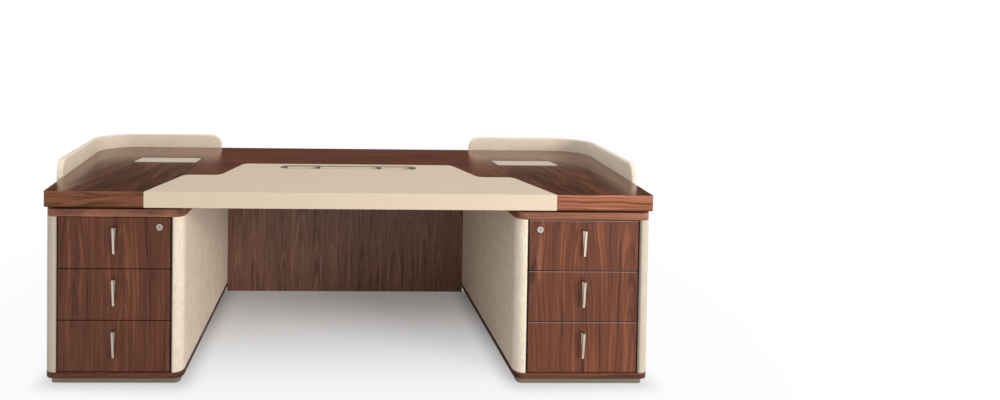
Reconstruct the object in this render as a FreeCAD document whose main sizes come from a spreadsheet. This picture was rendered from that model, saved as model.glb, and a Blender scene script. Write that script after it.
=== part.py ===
import FreeCAD, Part
import os
import re
import Sketcher

# Executive desk: flared top with an inlaid leather pad, two pedestals of three drawers, two screens.
# Millimetres. X runs along the front, Y from the drawer side to the visitor side, Z up from the floor.
# The origin lies on the floor below the middle of the desk's outer box.

SIZES = {
    # desk top
    "desk_height": 765,
    "top_thickness": 62,
    "top_front_width": 2388,
    "top_depth": 1150,
    "top_flare": 244,
    "top_rear_radius": 165,
    "top_front_radius": 18,
    "top_edge_radius": 2.5,
    # leather writing pad, let into the top
    "pad_front_width": 1616,
    "pad_shoulder_width": 1482,
    "pad_shoulder_depth": 334,
    "pad_neck_width": 1166,
    "pad_back_width": 1044,
    "pad_depth": 623,
    "pad_board": 32,
    "pad_lip": 28,
    "pad_proud": 1.5,
    "pad_corner_share": 0.23,
    "pad_edge_radius": 4,
    "inlay_gap": 0.6,
    # pen tray in the pad
    "tray_width": 664,
    "tray_reach": 84,
    "tray_centre": 543,
    "tray_well": 17,
    "tray_wall": 2,
    "tray_corner_radius": 36,
    "tray_sink": 0.5,
    "trough_gap": 24,
    "trough_middle": 276,
    "trough_outer": 136,
    "trough_reach": 70,
    "trough_height": 13,
    "trough_wall": 1.6,
    # cable lids and the sleeves below them
    "lid_width": 312,
    "lid_reach": 124,
    "lid_thickness": 8,
    "lid_centre": 928,
    "lid_front": 656,
    "lid_gap": 1,
    "cable_slot": 12,
    "sleeve_wall": 2,
    "ledge_reach": 7,
    "ledge_width": 30,
    "ledge_thickness": 3,
    "rest_gap": 0.3,
    "pin_radius": 2,
    "running_gap": 0.05,
    # leather screens on the top's edges
    "screen_thickness": 25,
    "screen_rise": 76,
    "screen_end": 746,
    "screen_front": 268,
    "screen_end_radius": 62,
    "screen_edge_radius": 7,
    "stud_radius": 5,
    "stud_half": 18,
    "bore_gap": 0.1,
    # pedestals
    "spacer_height": 10,
    "spacer_inset": 24,
    "knee_width": 1314,
    "pedestal_width": 541,
    "pedestal_setback": 15,
    "pedestal_depth": 925,
    "cap_height": 30,
    "wood_edge_radius": 1.5,
    "side_thickness": 43,
    "outer_side_thickness": 50,
    "side_radius": 36,
    "plinth_height": 23,
    "foot_height": 27,
    "foot_inset": 18,
    "foot_band": 4,
    "glide_radius": 20,
    "glide_inset": 80,
    "back_thickness": 18,
    "back_recess": 4,
    "bolt_radius": 4,
    "bolt_head_radius": 7,
    "bolt_head_height": 6,
    "bolt_inset": 72,
    "bolt_reach": 22,
    # modesty panel
    "modesty_thickness": 30,
    "floor_gap": 2,
    "dowel_radius": 5,
    "dowel_half": 28,
    # drawers
    "drawer_setback": 3,
    "drawer_gap": 3,
    "front_thickness": 20,
    "front_edge_radius": 1,
    "box_length": 580,
    "box_headroom": 56,
    "box_board": 14,
    "box_floor": 8,
    "box_floor_lift": 10,
    "box_lift": 16,
    "runner_width": 13,
    "runner_height": 42,
    "runner_sheet": 1.6,
    "runner_gap": 0.35,
    "runner_lift": 40,
    "channel_clearance": 2,
    # handles
    "blade_height": 106,
    "blade_width": 10,
    "blade_thickness": 5,
    "handle_raise": 13,
    "handle_standoff": 20,
    "handle_low_standoff": 9,
    "plate_height": 66,
    "plate_thickness": 4,
    "plate_drop": 7,
    "web_height": 15,
    "handle_edge_radius": 1.4,
    # locks
    "lock_from_edge": 47,
    "lock_from_top": 37,
    "flange_radius": 12.5,
    "flange_thickness": 2.5,
    "barrel_radius": 9,
    "barrel_tail": 3,
    "plug_radius": 6.5,
    "plug_sink": 0.5,
    "keyway_width": 1.6,
    "keyway_height": 8,
    "keyway_depth": 7,
    "cam_gap": 1.5,
    "cam_thickness": 3,
    "cam_width": 12,
    "cam_length": 34,
    "keeper_gap": 1,
    "keeper_thickness": 2,
    "keeper_width": 24,
    "keeper_drop": 22,
    "keeper_flange": 16,
}

DRAWERS = ("bottom", "middle", "top")
DOWEL_SHARES = (0.15, 0.5, 0.85)
STUD_BACK_SHARES = (0.12, 0.5, 0.88)
STUD_SIDE_SHARES = (0.1, 0.5, 0.9)

# Places worked out from the sizes. The desk is described on its right-hand side and mirrored.
PLACES = {
    "handle_reach": "handle_standoff + blade_thickness",
    "front_y": "(handle_reach - pedestal_setback - drawer_setback - top_depth - screen_thickness) / 2",
    "back_y": "front_y + top_depth",
    "underside": "desk_height - top_thickness",
    "top_half": "top_front_width / 2",
    "side_run": "sqrt(top_flare * top_flare + top_depth * top_depth)",
    "lip_narrowing": "(pad_front_width - pad_shoulder_width) * pad_lip / pad_shoulder_depth",
    "lip_half": "(pad_front_width - lip_narrowing) / 2",
    "web_depth": "top_thickness - pad_board",
    "pad_corner_radius": "pad_corner_share * (pad_shoulder_width - pad_neck_width) / 2",
    "tray_y": "front_y + tray_centre",
    "tray_height": "tray_well + tray_wall",
    "tray_base": "desk_height + pad_proud - tray_sink - tray_height",
    "lid_left": "lid_centre - lid_width / 2",
    "lid_y": "front_y + lid_front",
    "pivot_y": "lid_y + lid_reach - lid_thickness / 2",
    "pivot_z": "desk_height - lid_thickness / 2",
    "mouth_x": "lid_left - lid_gap",
    "mouth_y": "lid_y - cable_slot",
    "mouth_width": "lid_width + 2 * lid_gap",
    "mouth_reach": "cable_slot + lid_reach + lid_gap",
    "sleeve_x": "mouth_x - sleeve_wall",
    "sleeve_y": "mouth_y - sleeve_wall",
    "sleeve_width": "mouth_width + 2 * sleeve_wall",
    "sleeve_reach": "mouth_reach + 2 * sleeve_wall",
    "cap_top": "underside - spacer_height",
    "cap_bottom": "cap_top - cap_height",
    "sleeve_height": "desk_height - cap_bottom",
    "ledge_top": "desk_height - lid_thickness - rest_gap",
    "screen_height": "top_thickness + screen_rise",
    "screen_start_x": "top_half + top_flare * screen_front / top_depth",
    "screen_start_y": "front_y + screen_front",
    "normal_x": "top_depth / side_run",
    "normal_y": "top_flare / side_run",
    "outer_corner_x": "top_half + top_flare + screen_thickness * (side_run + top_flare) / top_depth",
    "inner_x": "knee_width / 2",
    "outer_x": "inner_x + pedestal_width",
    "pedestal_front": "front_y + pedestal_setback",
    "pedestal_back": "pedestal_front + pedestal_depth",
    "side_bottom": "foot_height + plinth_height",
    "side_height": "cap_bottom - side_bottom",
    "bay_x": "inner_x + side_thickness",
    "bay_width": "pedestal_width - side_thickness - outer_side_thickness",
    "bay_end": "bay_x + bay_width",
    "modesty_y": "pedestal_back - modesty_thickness",
    "modesty_height": "underside - floor_gap",
    "face_y": "pedestal_front + drawer_setback",
    "box_y": "face_y + front_thickness",
    "drawer_pitch": "(side_height - drawer_gap) / drawer_count",
    "front_height": "drawer_pitch - drawer_gap",
    "front_x": "bay_x + drawer_gap",
    "front_width": "bay_width - 2 * drawer_gap",
    "box_x": "bay_x + runner_width",
    "box_width": "bay_width - 2 * runner_width",
    "box_height": "front_height - box_lift - box_headroom",
    "channel_depth": "runner_width - channel_clearance",
    "bar_lift": "runner_sheet + runner_gap",
    "bar_width": "runner_width - bar_lift",
    "plate_top": "blade_height / 2 - plate_drop",
    "plate_bottom": "plate_top - plate_height",
    "lock_x": "front_x + lock_from_edge",
    "lock_z": "side_bottom + drawer_count * drawer_pitch - lock_from_top",
    "barrel_end": "box_y + barrel_tail",
    "cam_y": "barrel_end + cam_gap",
    "keeper_y": "box_y + keeper_gap",
}
SIZES["drawer_count"] = len(DRAWERS)

X_AXIS = FreeCAD.Vector(1, 0, 0)
Y_AXIS = FreeCAD.Vector(0, 1, 0)
ALONG_X = FreeCAD.Rotation(Y_AXIS, 90)
ALONG_Y = FreeCAD.Rotation(X_AXIS, -90)
UPRIGHT = FreeCAD.Rotation()
NEAR = 0.01

os.makedirs("parts", exist_ok=True)
doc = FreeCAD.newDocument("executive_desk")
sheet = doc.addObject("Spreadsheet::Sheet", "Sizes")
for row, (alias, number) in enumerate(SIZES.items(), start=1):
    sheet.set(f"A{row}", alias)
    sheet.set(f"B{row}", str(number))
    sheet.setAlias(f"B{row}", alias)
doc.recompute()

NAME = re.compile(r"[a-z_]+")
nodes = []


def bound(text):
    """An expression over the sheet's cells, with every named place written out."""
    def swap(match):
        name = match.group()
        if name in PLACES:
            return f"({bound(PLACES[name])})"
        return f"Sizes.{name}" if name in SIZES else name
    return NAME.sub(swap, text)


def value(text):
    """The number that an expression has with the present sizes."""
    return float(sheet.evalExpression(bound(text)))


def place(shape, corner):
    """Bind an object's position to three expressions."""
    for axis, text in zip("xyz", corner):
        shape.setExpression(f"Placement.Base.{axis}", bound(text))


# Solid bodies from sketches


def new_body(label, corner):
    body = doc.addObject("PartDesign::Body", label)
    place(body, corner)
    return body


def outline(body, points, plane="XY_Plane", lift="0"):
    """A closed polygon on one of the body's planes, each corner held by two driven distances."""
    sketch = body.newObject("Sketcher::SketchObject", f"{body.Label}_outline")
    origin = next(item for item in body.Origin.OriginFeatures if item.Role == plane)
    sketch.AttachmentSupport = [(origin, "")]
    sketch.MapMode = "FlatFace"
    sketch.setExpression("AttachmentOffset.Base.z", bound(lift))
    corners = [FreeCAD.Vector(value(across), value(along), 0) for across, along in points]
    followers = corners[1:] + corners[:1]
    for start, end in zip(corners, followers):
        sketch.addGeometry(Part.LineSegment(start, end))
    for index, (across, along) in enumerate(points):
        following = (index + 1) % len(points)
        sketch.addConstraint(Sketcher.Constraint("Coincident", index, 2, following, 1))
        for kind, text in (("DistanceX", across), ("DistanceY", along)):
            held = sketch.addConstraint(Sketcher.Constraint(kind, -1, 1, index, 1, value(text)))
            sketch.setExpression(f"Constraints[{held}]", bound(text))
    doc.recompute()
    return sketch


def pad(body, sketch, length, both_ways=False, reverse=False):
    feature = body.newObject("PartDesign::Pad", f"{body.Label}_pad")
    feature.Profile = sketch
    feature.SideType = "Symmetric" if both_ways else "One side"
    feature.Reversed = reverse
    feature.setExpression("Length", bound(length))
    doc.recompute()
    return feature


def pocket(body, sketch, depth, upward=False):
    feature = body.newObject("PartDesign::Pocket", f"{body.Label}_pocket")
    feature.Profile = sketch
    feature.Reversed = upward
    feature.setExpression("Length", bound(depth))
    doc.recompute()
    return feature


def rounding(body, radius, chosen):
    """Round those edges of the body for which chosen(edge) holds."""
    base = body.Tip
    names = [f"Edge{number}" for number, edge in enumerate(base.Shape.Edges, start=1) if chosen(edge)]
    feature = body.newObject("PartDesign::Fillet", f"{body.Label}_fillet")
    feature.Base = (base, names)
    feature.setExpression("Radius", bound(radius))
    doc.recompute()
    return feature


def upright_at(*points):
    """Chooses the vertical edges that stand on the given plan points."""
    spots = [FreeCAD.Vector(value(across), value(along), 0) for across, along in points]

    def chosen(edge):
        ends = [FreeCAD.Vector(vertex.X, vertex.Y, 0) for vertex in edge.Vertexes]
        return any(all(end.distanceToPoint(spot) < NEAR for end in ends) for spot in spots)
    return chosen


def level_at(*heights):
    """Chooses the edges that lie in one of the given level planes of the body."""
    levels = [value(height) for height in heights]

    def chosen(edge):
        box = edge.BoundBox
        return any(abs(box.ZMin - level) < NEAR and abs(box.ZMax - level) < NEAR for level in levels)
    return chosen


def rounded_plate(label, plan, radius, bottom, height):
    """A plate with every upright corner rounded alike."""
    body = new_body(label, ("0", "0", bottom))
    pad(body, outline(body, plan), height)
    rounding(body, radius, upright_at(*plan))
    return body


def mirrored_points(half):
    """A symmetric outline from its right half, listed from front to back."""
    return list(half) + [(f"-({across})", along) for across, along in reversed(half)]


def rectangle(left, front, right, back):
    return [(left, front), (right, front), (right, back), (left, back)]


# Plain solids, joins and cuts


def block(label, corner, sizes):
    solid = doc.addObject("Part::Box", label)
    place(solid, corner)
    for name, text in zip(("Length", "Width", "Height"), sizes):
        solid.setExpression(name, bound(text))
    return solid


def rod(label, radius, length, corner, turn):
    solid = doc.addObject("Part::Cylinder", label)
    solid.Placement = FreeCAD.Placement(FreeCAD.Vector(), turn)
    place(solid, corner)
    solid.setExpression("Radius", bound(radius))
    solid.setExpression("Height", bound(length))
    return solid


def group(label, members):
    together = doc.addObject("Part::Compound", label)
    together.Links = members
    return together


def open_box(label, corner, sizes, wall, floor, lift="0"):
    """Five boards: two sides, a front and a back between them, and a floor in the middle."""
    x, y, z = corner
    width, reach, height = sizes
    inside = f"{width} - 2 * {wall}"
    boards = {
        "near": (corner, (wall, reach, height)),
        "far": ((f"{x} + {width} - {wall}", y, z), (wall, reach, height)),
        "head": ((f"{x} + {wall}", y, z), (inside, wall, height)),
        "tail": ((f"{x} + {wall}", f"{y} + {reach} - {wall}", z), (inside, wall, height)),
        "floor": ((f"{x} + {wall}", f"{y} + {wall}", f"{z} + {lift}"),
                  (inside, f"{reach} - 2 * {wall}", floor)),
    }
    return group(label, [block(f"{label}_{part}", *board) for part, board in boards.items()])


def fuse(label, members):
    joined = doc.addObject("Part::MultiFuse", label)
    joined.Shapes = members
    joined.Refine = True
    return joined


def cut(label, base, tools):
    result = doc.addObject("Part::Cut", label)
    result.Base = base
    result.Tool = tools[0] if len(tools) == 1 else group(f"{label}_tools", tools)
    return result


def mirror(label, source):
    image = doc.addObject("Part::Mirroring", label)
    image.Source = source
    image.Normal = X_AXIS
    return image


def keep(label, item):
    """Take an object as one of the desk's parts."""
    item.Label = label
    nodes.append(item)
    return item


def keep_pair(stem, right):
    keep(f"{stem}_right", right)
    keep(f"{stem}_left", mirror(f"{stem}_left", right))


# Fixings and the cutters for them, right-hand side


def bolt_spots():
    near_x = "inner_x + bolt_inset"
    far_x = "outer_x - bolt_inset"
    near_y = "pedestal_front + bolt_inset"
    far_y = "pedestal_back - bolt_inset"
    return rectangle(near_x, near_y, far_x, far_y)


def bolts(label, radius, bottom, top):
    length = f"{top} - ({bottom})"
    return [rod(f"{label}_{number}", radius, length, (across, along, bottom), UPRIGHT)
            for number, (across, along) in enumerate(bolt_spots())]


def dowels(label, radius):
    along = "pedestal_back - modesty_thickness / 2"
    return [rod(f"{label}_{number}", radius, "2 * dowel_half",
                ("inner_x - dowel_half", along, f"side_bottom + {share} * side_height"), ALONG_X)
            for number, share in enumerate(DOWEL_SHARES)]


def studs(label, radius):
    """Studs across the joint between the top and a screen: three in the back edge, three in the side."""
    height = "desk_height - top_thickness / 2"
    back_start = "screen_end"
    back_run = "top_half + top_flare - screen_end - 2 * top_rear_radius"
    side_run = "top_depth - screen_front - 2 * top_rear_radius"
    across_side = FreeCAD.Rotation(FreeCAD.Vector(value("normal_y"), value("normal_x"), 0), 90)
    pins = []
    for number, share in enumerate(STUD_BACK_SHARES):
        corner = (f"{back_start} + {share} * ({back_run})", "back_y - stud_half", height)
        pins.append(rod(f"{label}_back_{number}", radius, "2 * stud_half", corner, ALONG_Y))
    for number, share in enumerate(STUD_SIDE_SHARES):
        depth = f"(screen_front + {share} * ({side_run}))"
        corner = (f"top_half + top_flare * {depth} / top_depth - stud_half * normal_x",
                  f"front_y + {depth} + stud_half * normal_y", height)
        pins.append(rod(f"{label}_side_{number}", radius, "2 * stud_half", corner, across_side))
    return pins


def passage(label, bottom, top):
    """Cutter for the cable sleeve through the top, the spacer and the cap."""
    height = f"{top} - ({bottom})"
    return block(label, ("sleeve_x", "sleeve_y", bottom), ("sleeve_width", "sleeve_reach", height))


# Desk top


def pad_half(spread):
    """Right half of the pad's outline behind its front edge, widened by a gap."""
    return [
        (f"pad_shoulder_width / 2 + {spread}", f"front_y + pad_shoulder_depth + {spread}"),
        (f"pad_neck_width / 2 + {spread}", f"front_y + pad_shoulder_depth + {spread}"),
        (f"pad_back_width / 2 + {spread}", f"front_y + pad_depth + {spread}"),
    ]


def build_top():
    body = new_body("top_blank", ("0", "0", "underside"))
    front = ("top_half", "front_y")
    rear = ("top_half + top_flare", "back_y")
    pad(body, outline(body, mirrored_points([front, rear])), "top_thickness")
    rounding(body, "top_front_radius", upright_at(front, ("-top_half", "front_y")))
    rounding(body, "top_rear_radius", upright_at(rear, ("-(top_half + top_flare)", "back_y")))
    rounding(body, "top_edge_radius", level_at("0", "top_thickness"))
    bend = pad_half("inlay_gap")
    mouth = [("pad_front_width / 2 + inlay_gap", "front_y - pad_lip"),
             ("pad_front_width / 2 + inlay_gap", "front_y")]
    pocket(body, outline(body, mirrored_points(mouth + bend), lift="top_thickness"), "pad_board")
    corners = bend + [(f"-({across})", along) for across, along in bend]
    rounding(body, "pad_corner_radius", upright_at(*corners))
    lip = mouth + [("lip_half + inlay_gap", "front_y + pad_lip + inlay_gap")]
    pocket(body, outline(body, mirrored_points(lip), lift="top_thickness"), "top_thickness")
    bolt_tip = "underside + bolt_reach + bore_gap"
    hollows = bolts("top_bolt_hole", "bolt_radius + bore_gap", "underside", bolt_tip)
    hollows += studs("top_stud_hole", "stud_radius + bore_gap")
    hollows.append(passage("top_passage", "underside", "desk_height"))
    right = group("top_cutters_right", hollows)
    keep("desktop", cut("desktop", body, [right, mirror("top_cutters_left", right)]))


def build_pad():
    height = "top_thickness + pad_proud"
    body = new_body("writing_pad", ("0", "0", "underside"))
    front = ("pad_front_width / 2", "front_y - pad_proud")
    bend = pad_half("0")
    pad(body, outline(body, mirrored_points([front] + bend)), height)
    corners = bend + [(f"-({across})", along) for across, along in bend]
    rounding(body, "pad_corner_radius", upright_at(*corners))
    rounding(body, "pad_edge_radius", upright_at(front, ("-pad_front_width / 2", "front_y - pad_proud")))
    rounding(body, "pad_edge_radius", level_at(height))
    underneath = rectangle("-pad_front_width", "front_y + pad_lip", "pad_front_width", "back_y")
    pocket(body, outline(body, underneath), "web_depth", upward=True)
    pocket(body, outline(body, tray_plan("inlay_gap"), lift=height), "tray_height + tray_sink")
    rounding(body, "tray_corner_radius", upright_at(*tray_plan("inlay_gap")))
    keep("writing_pad", body)


def tray_plan(spread):
    half = f"tray_width / 2 + {spread}"
    reach = f"tray_reach / 2 + {spread}"
    return rectangle(f"-({half})", f"tray_y - ({reach})", half, f"tray_y + {reach}")


def build_tray():
    shell = rounded_plate("tray_shell", tray_plan("0"), "tray_corner_radius", "tray_base", "tray_height")
    well = rounded_plate("tray_well_cutter", tray_plan("(-tray_wall)"), "tray_corner_radius - tray_wall",
                         "tray_base + tray_wall", "tray_height")
    keep("pen_tray", cut("pen_tray", shell, [well]))
    starts = {
        "middle": ("-trough_middle / 2", "trough_middle"),
        "right": ("trough_middle / 2 + trough_gap", "trough_outer"),
        "left": ("-(trough_middle / 2 + trough_gap + trough_outer)", "trough_outer"),
    }
    troughs = []
    for name, (left, width) in starts.items():
        corner = (left, "tray_y - trough_reach / 2", "tray_base + tray_wall")
        sizes = (width, "trough_reach", "trough_height")
        troughs.append(open_box(f"trough_{name}", corner, sizes, "trough_wall", "trough_wall"))
    keep("pen_troughs", group("pen_troughs", troughs))


def build_lids():
    plate = block("lid_plate", ("lid_left", "lid_y", "desk_height - lid_thickness"),
                  ("lid_width", "pivot_y - lid_y", "lid_thickness"))
    hinge_line = ("lid_left", "pivot_y", "pivot_z")
    barrel = rod("lid_barrel", "lid_thickness / 2", "lid_width", hinge_line, ALONG_X)
    bore = rod("lid_bore", "pin_radius + running_gap", "lid_width", hinge_line, ALONG_X)
    keep_pair("cable_lid", cut("lid", fuse("lid_blank", [plate, barrel]), [bore]))
    shell = passage("sleeve_shell", "cap_bottom", "desk_height")
    mouth = block("sleeve_mouth", ("mouth_x", "mouth_y", "cap_bottom"),
                  ("mouth_width", "mouth_reach", "sleeve_height"))
    pin_line = ("sleeve_x", "pivot_y", "pivot_z")
    pin_hole = rod("sleeve_pin_hole", "pin_radius", "sleeve_width", pin_line, ALONG_X)
    ledges = [block(f"sleeve_ledge_{name}", (left, "lid_y", "ledge_top - ledge_thickness"),
                    ("ledge_reach", "ledge_width", "ledge_thickness"))
              for name, left in (("near", "mouth_x"), ("far", "mouth_x + mouth_width - ledge_reach"))]
    tube = cut("sleeve_tube", shell, [mouth, pin_hole])
    keep_pair("cable_sleeve", fuse("sleeve", [tube] + ledges))
    pin = rod("hinge_pin_right", "pin_radius", "sleeve_width", pin_line, ALONG_X)
    keep("lid_hinge_pins", group("lid_hinge_pins", [pin, mirror("hinge_pin_left", pin)]))


def build_screens():
    body = new_body("screen_blank", ("0", "0", "underside"))
    inner = ("top_half + top_flare", "back_y")
    outer = ("outer_corner_x", "back_y + screen_thickness")
    points = [
        ("screen_start_x", "screen_start_y"),
        inner,
        ("screen_end", "back_y"),
        ("screen_end", "back_y + screen_thickness"),
        outer,
        ("screen_start_x + screen_thickness * normal_x", "screen_start_y - screen_thickness * normal_y"),
    ]
    pad(body, outline(body, points), "screen_height")
    rounding(body, "top_rear_radius", upright_at(inner))
    rounding(body, "top_rear_radius + screen_thickness", upright_at(outer))
    on_top = level_at("screen_height")
    across = value("screen_thickness") + NEAR
    rounding(body, "screen_end_radius", lambda edge: on_top(edge) and edge.Length < across)
    rounding(body, "screen_edge_radius", lambda edge: on_top(edge) and edge.Length > across)
    keep_pair("screen", cut("screen", body, studs("screen_stud_hole", "stud_radius + bore_gap")))
    pins = group("studs_right", studs("stud", "stud_radius"))
    keep("screen_studs", group("screen_studs", [pins, mirror("studs_left", pins)]))


# Pedestals


def build_pedestals():
    plan = rectangle("inner_x", "pedestal_front", "outer_x", "pedestal_back")
    rounded = upright_at(plan[0], plan[1], plan[2])

    cap = new_body("cap_blank", ("0", "0", "cap_bottom"))
    pad(cap, outline(cap, plan), "cap_height")
    rounding(cap, "side_radius", rounded)
    rounding(cap, "wood_edge_radius", level_at("0", "cap_height"))
    cap_holes = bolts("cap_bolt_hole", "bolt_radius + bore_gap", "cap_bottom", "cap_top")
    keep_pair("pedestal_cap", cut("cap", cap, cap_holes + [passage("cap_passage", "cap_bottom", "cap_top")]))

    spacer_corner = ("inner_x + spacer_inset", "pedestal_front + spacer_inset", "cap_top")
    spacer_sizes = ("pedestal_width - 2 * spacer_inset", "pedestal_depth - 2 * spacer_inset",
                    "spacer_height")
    spacer = block("spacer_blank", spacer_corner, spacer_sizes)
    spacer_holes = bolts("spacer_bolt_hole", "bolt_radius + bore_gap", "cap_top", "underside")
    spacer_holes.append(passage("spacer_passage", "cap_top", "underside"))
    board = cut("spacer_right", spacer, spacer_holes)
    keep("top_spacers", group("top_spacers", [board, mirror("spacer_left", board)]))

    shanks = bolts("bolt_shank", "bolt_radius", "cap_bottom", "underside + bolt_reach")
    heads = bolts("bolt_head", "bolt_head_radius", "cap_bottom - bolt_head_height", "cap_bottom")
    whole = [fuse(f"bolt_{number}", list(parts)) for number, parts in enumerate(zip(shanks, heads))]
    bolts_right = group("bolts_right", whole)
    keep("top_bolts", group("top_bolts", [bolts_right, mirror("bolts_left", bolts_right)]))

    plinth = new_body("plinth_right", ("0", "0", "foot_height"))
    pad(plinth, outline(plinth, plan), "plinth_height")
    rounding(plinth, "side_radius", rounded)
    rounding(plinth, "wood_edge_radius", level_at("0", "plinth_height"))
    keep_pair("plinth", plinth)

    build_sides()
    build_feet()
    panel = block("back_right", ("bay_x", "pedestal_back - back_recess - back_thickness", "side_bottom"),
                  ("bay_width", "back_thickness", "side_height"))
    keep_pair("pedestal_back", panel)


def build_sides():
    outer = new_body("outer_side_right", ("0", "0", "side_bottom"))
    plan = rectangle("bay_end", "pedestal_front", "outer_x", "pedestal_back")
    pad(outer, outline(outer, plan), "side_height")
    rounding(outer, "side_radius", upright_at(plan[1], plan[2]))
    keep_pair("outer_side", outer)

    inner = new_body("inner_side_blank", ("0", "0", "side_bottom"))
    plan = rectangle("inner_x", "pedestal_front", "bay_x", "pedestal_back")
    pad(inner, outline(inner, plan), "side_height")
    rounding(inner, "side_radius", upright_at(plan[0]))
    keep_pair("inner_side", cut("inner_side", inner, dowels("side_dowel_hole", "dowel_radius + bore_gap")))


def build_feet():
    def plan(inset):
        return rectangle(f"inner_x + {inset}", f"pedestal_front + {inset}",
                         f"outer_x - ({inset})", f"pedestal_back - ({inset})")

    rim = rounded_plate("band_rim", plan("foot_inset"), "side_radius - foot_inset", "0", "foot_height")
    inside = rounded_plate("band_inside", plan("foot_inset + foot_band"),
                           "side_radius - foot_inset - foot_band", "0", "foot_height")
    keep_pair("base_band", cut("band", rim, [inside]))
    discs = [rod(f"glide_{number}", "glide_radius", "foot_height", (across, along, "0"), UPRIGHT)
             for number, (across, along) in enumerate(plan("glide_inset"))]
    right = group("glides_right", discs)
    keep("floor_glides", group("floor_glides", [right, mirror("glides_left", right)]))


def build_modesty():
    panel = block("modesty_blank", ("-inner_x", "modesty_y", "floor_gap"),
                  ("knee_width", "modesty_thickness", "modesty_height"))
    holes = group("modesty_holes_right", dowels("modesty_dowel_hole", "dowel_radius + bore_gap"))
    keep("modesty_panel", cut("modesty_panel", panel, [holes, mirror("modesty_holes_left", holes)]))
    pins = group("dowels_right", dowels("dowel", "dowel_radius"))
    keep("panel_dowels", group("panel_dowels", [pins, mirror("dowels_left", pins)]))


# Drawers, from the lowest to the highest


def level_z(level):
    """Height of a drawer front's lower edge."""
    return f"(side_bottom + drawer_gap + {level} * drawer_pitch)"


def runner_z(level):
    return f"({level_z(level)} + box_lift + runner_lift)"


def build_channels():
    channels = []
    for level, name in enumerate(DRAWERS):
        for side, wall, hand in (("near", "bay_x", 1), ("far", "bay_end", -1)):
            body = new_body(f"channel_{name}_{side}", (wall, "box_y", runner_z(level)))
            section = [("0", "0"), ("channel_depth", "0"), ("channel_depth", "runner_sheet"),
                       ("runner_sheet", "runner_sheet"), ("runner_sheet", "runner_height - runner_sheet"),
                       ("channel_depth", "runner_height - runner_sheet"),
                       ("channel_depth", "runner_height"), ("0", "runner_height")]
            points = [(f"{hand} * ({across})", upward) for across, upward in section]
            pad(body, outline(body, points, plane="XZ_Plane"), "box_length", reverse=True)
            channels.append(body)
    keep_pair("runner_channels", group("channels", channels))


def build_front(level, name):
    body = new_body(f"front_{name}", ("0", "0", level_z(level)))
    plan = rectangle("front_x", "face_y", "front_x + front_width", "box_y")
    pad(body, outline(body, plan), "front_height")
    face = value("face_y")

    def on_face(edge):
        return abs(edge.BoundBox.YMin - face) < NEAR and abs(edge.BoundBox.YMax - face) < NEAR
    rounding(body, "front_edge_radius", on_face)
    if name != DRAWERS[-1]:
        return body
    hole = rod("lock_hole", "barrel_radius", "front_thickness", ("lock_x", "face_y", "lock_z"), ALONG_Y)
    return cut("front_drilled", body, [hole])


def build_box(level, name):
    corner = ("box_x", "box_y", f"{level_z(level)} + box_lift")
    sizes = ("box_width", "box_length", "box_height")
    return open_box(f"box_{name}", corner, sizes, "box_board", "box_floor", "box_floor_lift")


def build_slides(level, name):
    lift = f"{runner_z(level)} + bar_lift"
    sizes = ("bar_width", "box_length", "runner_height - 2 * bar_lift")
    bars = [block(f"bar_{name}_near", ("bay_x + bar_lift", "box_y", lift), sizes),
            block(f"bar_{name}_far", ("bay_end - runner_width", "box_y", lift), sizes)]
    return group(f"bars_{name}", bars)


def blade_back(height):
    """Distance of the leaning blade's back from the drawer, at a height from the blade's middle."""
    rise = f"(({height}) / blade_height + 1 / 2)"
    return f"-(handle_low_standoff + (handle_standoff - handle_low_standoff) * {rise})"


def build_handle(level, name):
    middle = f"{level_z(level)} + front_height / 2 + handle_raise"
    body = new_body(f"handle_blank_{name}", ("front_x + front_width / 2", "face_y", middle))
    half = "blade_height / 2"
    low = "-blade_height / 2"
    profile = [
        ("-handle_standoff", half),
        ("-handle_reach", half),
        ("-(handle_low_standoff + blade_thickness)", low),
        ("-handle_low_standoff", low),
        (blade_back("plate_bottom - web_height"), "plate_bottom - web_height"),
        ("0", "plate_bottom"),
        ("0", "plate_top"),
        ("-plate_thickness", "plate_top"),
        ("-plate_thickness", "plate_bottom + web_height"),
        (blade_back("plate_bottom"), "plate_bottom"),
    ]
    pad(body, outline(body, profile, plane="YZ_Plane"), "blade_width", both_ways=True)
    lean = value("(handle_standoff - handle_low_standoff) / blade_height")
    middle_y = value("-(handle_standoff + handle_low_standoff) / 2 - blade_thickness")

    def on_blade(edge):
        return all(abs(vertex.Y + lean * vertex.Z - middle_y) < NEAR for vertex in edge.Vertexes)
    rounding(body, "handle_edge_radius", on_blade)
    return body


def build_drawers():
    for level, name in enumerate(DRAWERS):
        keep_pair(f"drawer_front_{name}", build_front(level, name))
        keep_pair(f"drawer_box_{name}", build_box(level, name))
        keep_pair(f"drawer_slides_{name}", build_slides(level, name))
        keep_pair(f"drawer_handle_{name}", build_handle(level, name))


# Locks of the top drawers


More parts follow.
